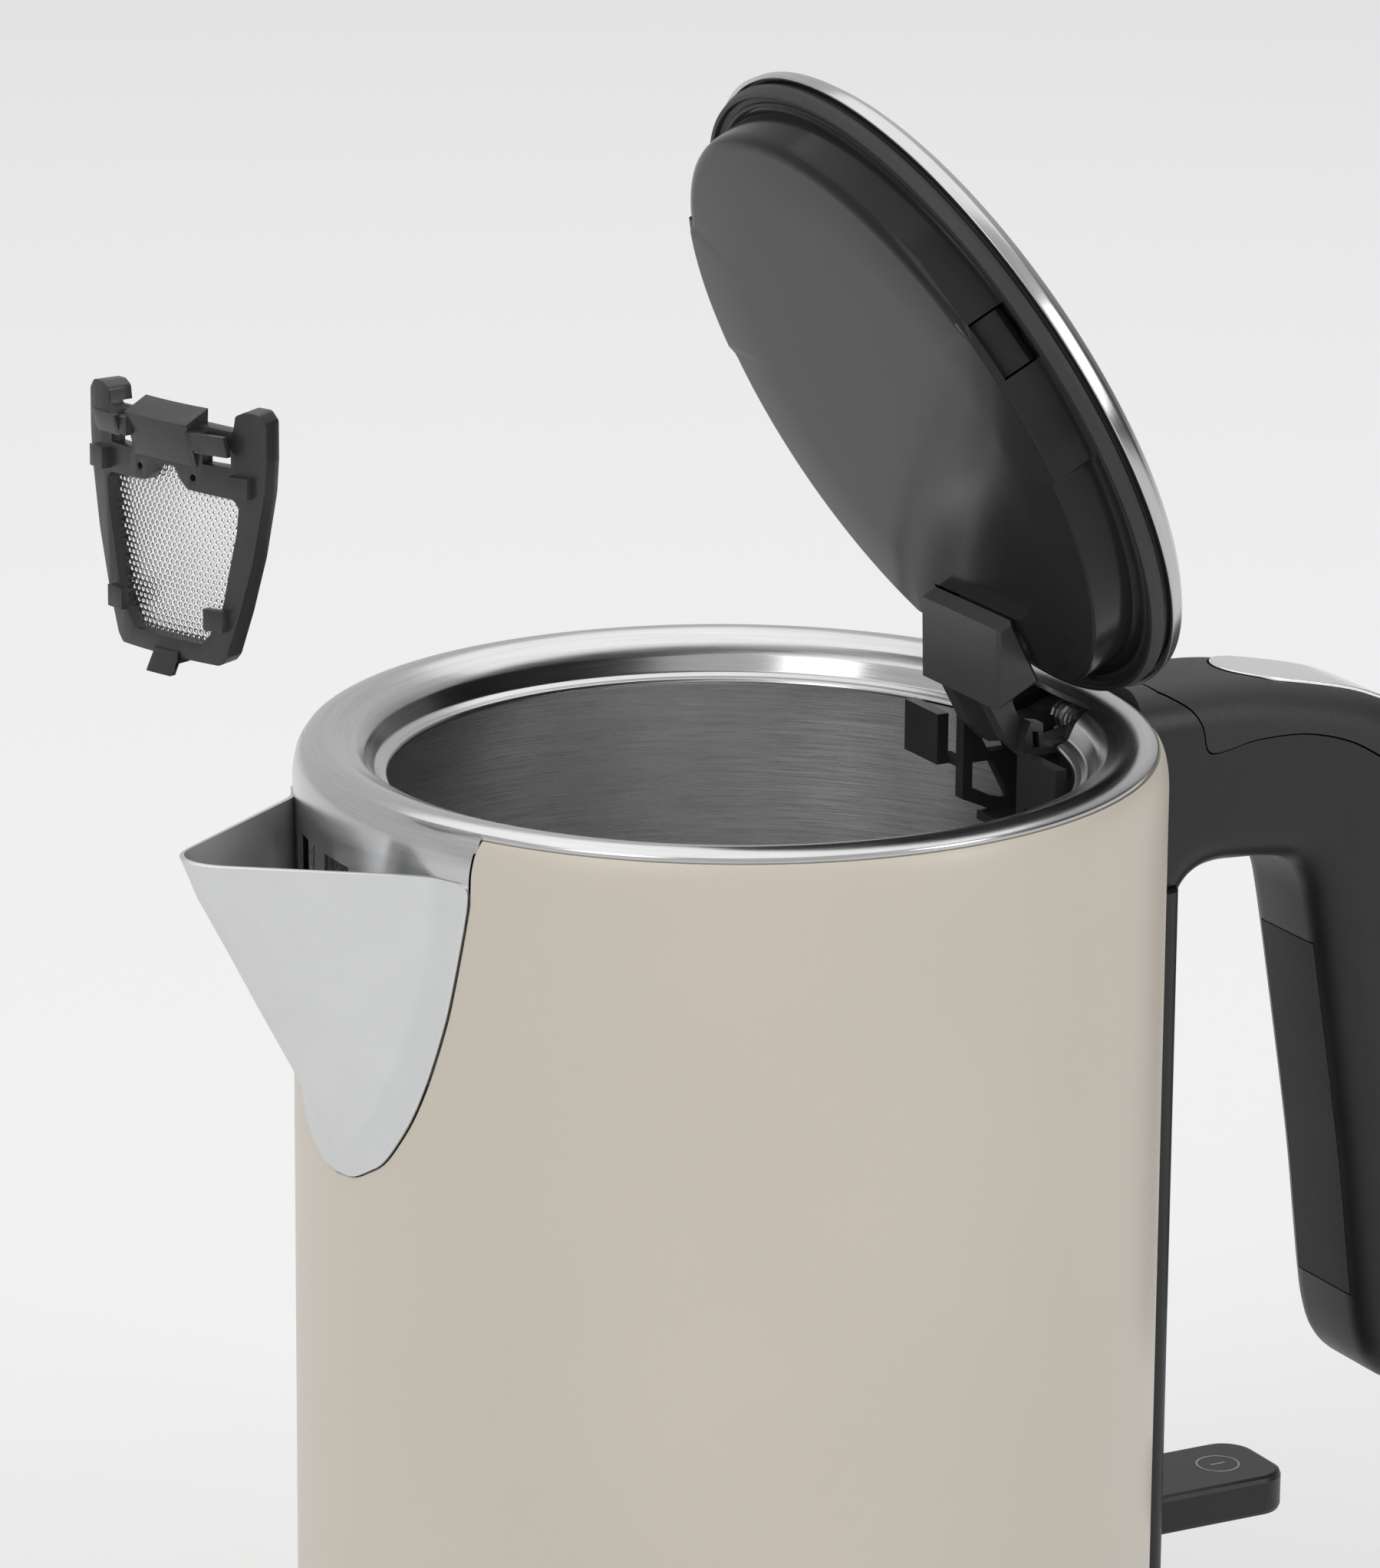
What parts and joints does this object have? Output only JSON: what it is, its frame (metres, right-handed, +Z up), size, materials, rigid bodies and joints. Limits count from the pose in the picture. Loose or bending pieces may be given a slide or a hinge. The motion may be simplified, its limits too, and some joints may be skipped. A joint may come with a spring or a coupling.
{
  "type": "electric kettle",
  "caption": "Cordless electric kettle: straight painted steel body, V spout, hinged lid, open black handle, lift-out strainer and round power base.",
  "frame": {"origin": "on the table, on the axis of the round body, at the flat middle of the power base underside", "axes": "+Z up along the body axis, -X towards the spout, +X towards the handle, Y across"},
  "size_m": [0.2683, 0.158, 0.3199],
  "materials": {
    "painted_shell": "satin cream paint",
    "brushed_steel": "satin, brushed round the body",
    "vessel_steel": "brushed",
    "spout_steel": "fine satin",
    "bright_steel": "polished",
    "hidden_steel": "plain",
    "heater_alloy": "cast",
    "brass": "plated",
    "black_plastic": "satin moulded",
    "grained_plastic": "fine moulded grain",
    "lid_plastic": "smooth moulded",
    "soft_grip": "soft touch",
    "gasket_rubber": "matte"
  },
  "bodies": {
    "power_base": {"base_top_cover": "black_plastic", "base_bottom_cover": "black_plastic", "base_connector": "black_plastic", "contact_ring": "brass", "contact_pin": "brass", "cord_inlet": "gasket_rubber", "base_foot_1": "gasket_rubber", "base_foot_2": "gasket_rubber", "base_foot_3": "gasket_rubber", "base_foot_4": "gasket_rubber", "base_screw_1": "hidden_steel", "base_screw_2": "hidden_steel", "base_screw_3": "hidden_steel"},
    "connector": {"connector_socket": "black_plastic"},
    "kettle": {"outer_shell": "painted_shell", "inner_vessel": "vessel_steel", "rim_ring": "brushed_steel", "spout": "spout_steel", "foot_ring": "black_plastic", "bottom_cover": "black_plastic", "back_strip": "black_plastic", "heater_plate": "heater_alloy", "heating_element": "heater_alloy", "thermostat_control": "black_plastic", "handle_lower_shell": "black_plastic", "handle_upper_shell": "grained_plastic", "handle_insert": "soft_grip", "lever_pin": "hidden_steel", "hinge_bracket": "lid_plastic", "hinge_pin": "hidden_steel", "hinge_spring": "hidden_steel"},
    "lid": {"lid_cap": "brushed_steel", "lid_inner_cover": "lid_plastic", "lid_gasket": "gasket_rubber", "lid_hinge_arm": "lid_plastic"},
    "latch_near": {"lid_latch_near": "lid_plastic"},
    "latch_far": {"lid_latch_far": "lid_plastic"},
    "release_button": {"lid_release_button": "bright_steel"},
    "switch": {"switch_lever": "black_plastic"},
    "strainer": {"filter_frame": "lid_plastic", "filter_mesh": "bright_steel"}
  },
  "joints": [
    {"name": "kettle_lift", "type": "slide", "parent": "power_base", "child": "connector", "axis": [0, 0, 1], "range_m": [0, 0.12]},
    {"name": "kettle_swivel", "type": "hinge", "parent": "connector", "child": "kettle", "pos_m": [0, 0, 0.03], "axis": [0, 0, 1], "continuous": true},
    {"name": "lid_hinge", "type": "hinge", "parent": "kettle", "child": "lid", "pos_m": [0.0683, 0, 0.2017], "axis": [0, -1, 0], "range_deg": [0, 62.85], "stiffness_Nm_per_rad": 0.15, "springref_deg": -45.84},
    {"name": "latch_near_slide", "type": "slide", "parent": "lid", "child": "latch_near", "axis": [0.2072, 0.891, -0.404], "range_m": [0, 0.0022], "stiffness_N_per_m": 300, "springref_m": -0.001},
    {"name": "latch_far_slide", "type": "slide", "parent": "lid", "child": "latch_far", "axis": [0.2072, -0.891, -0.404], "range_m": [0, 0.0022], "stiffness_N_per_m": 300, "springref_m": -0.001},
    {"name": "release_button_press", "type": "slide", "parent": "kettle", "child": "release_button", "axis": [0, 0, -1], "range_m": [0, 0.002], "stiffness_N_per_m": 400, "springref_m": -0.001},
    {"name": "switch_tilt", "type": "hinge", "parent": "kettle", "child": "switch", "pos_m": [0.079, 0, 0.0522], "axis": [0, 1, 0], "range_deg": [0, 8]},
    {"name": "strainer_lift_out", "type": "slide", "parent": "kettle", "child": "strainer", "axis": [0.8155, 0, -0.5787], "range_m": [0, 0.038]}
  ]
}
